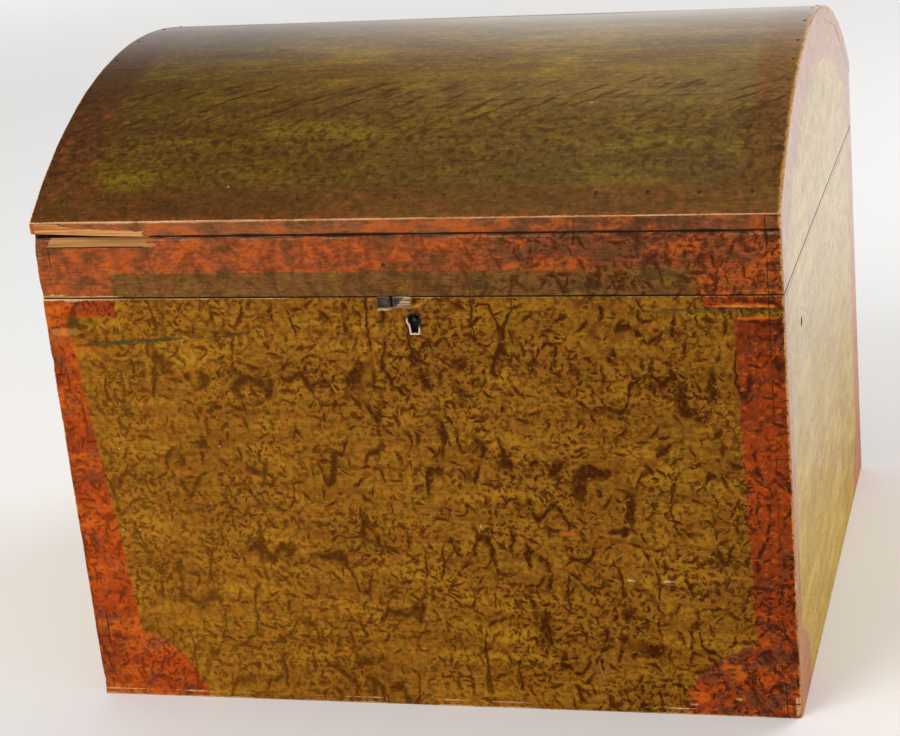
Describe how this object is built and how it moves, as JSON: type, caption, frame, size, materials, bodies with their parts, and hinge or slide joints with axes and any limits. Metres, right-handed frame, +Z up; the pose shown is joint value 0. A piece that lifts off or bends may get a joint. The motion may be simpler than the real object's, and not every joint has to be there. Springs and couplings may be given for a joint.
{
  "type": "dome-top wooden box",
  "caption": "Dome-top dovetailed pine box, grain painted, with a hinged lid, a box lock in the front board and a keyhole.",
  "frame": {"origin": "middle of the underside, on the surface it stands on", "axes": "+Z up, the front with the keyhole at -Y, +X to the right seen from the front"},
  "size_m": [0.5, 0.442, 0.43],
  "materials": {
    "grained_pine": "ochre and vermilion grain paint under varnish",
    "plain_pine": "bare aged pine",
    "lock_iron": "dark hand-filed iron",
    "hinge_iron": "dark iron, some rust",
    "nail_iron": "rusted iron",
    "liner_metal": "worn brass"
  },
  "bodies": {
    "case": {"back_board": "grained_pine", "bottom_back_board": "plain_pine", "bottom_front_board": "plain_pine", "bottom_nails": "nail_iron", "front_board": "grained_pine", "hinge_left_case_leaf": "hinge_iron", "hinge_left_case_screws": "hinge_iron", "hinge_left_pin": "hinge_iron", "hinge_right_case_leaf": "hinge_iron", "hinge_right_case_screws": "hinge_iron", "hinge_right_pin": "hinge_iron", "keyhole_liner": "liner_metal", "left_end_board": "grained_pine", "lock_cap": "lock_iron", "lock_key_pin": "lock_iron", "lock_nails": "nail_iron", "lock_plate": "lock_iron", "lock_ward": "lock_iron", "right_end_board": "grained_pine"},
    "lid": {"dome_board_1": "grained_pine", "dome_board_2": "grained_pine", "dome_board_3": "grained_pine", "dome_board_4": "grained_pine", "dome_board_5": "grained_pine", "dome_edge_sprigs": "nail_iron", "dome_end_sprigs": "nail_iron", "hinge_left_lid_leaf": "hinge_iron", "hinge_left_lid_screws": "hinge_iron", "hinge_right_lid_leaf": "hinge_iron", "hinge_right_lid_screws": "hinge_iron", "lid_back_rail": "grained_pine", "lid_front_rail": "grained_pine", "lid_left_end": "grained_pine", "lid_right_end": "grained_pine", "lid_staple": "lock_iron", "rail_nail": "nail_iron", "staple_nails": "nail_iron"},
    "lock_bolt": {"lock_bolt": "lock_iron", "lock_spring": "lock_iron"}
  },
  "joints": [
    {"name": "lid_hinge", "type": "hinge", "parent": "case", "child": "lid", "pos_m": [0, 0.2185, 0.2975], "axis": [-1, 0, 0], "range_deg": [0, 105]},
    {"name": "bolt_slide", "type": "slide", "parent": "case", "child": "lock_bolt", "axis": [-1, 0, 0], "range_m": [0, 0.007]}
  ]
}
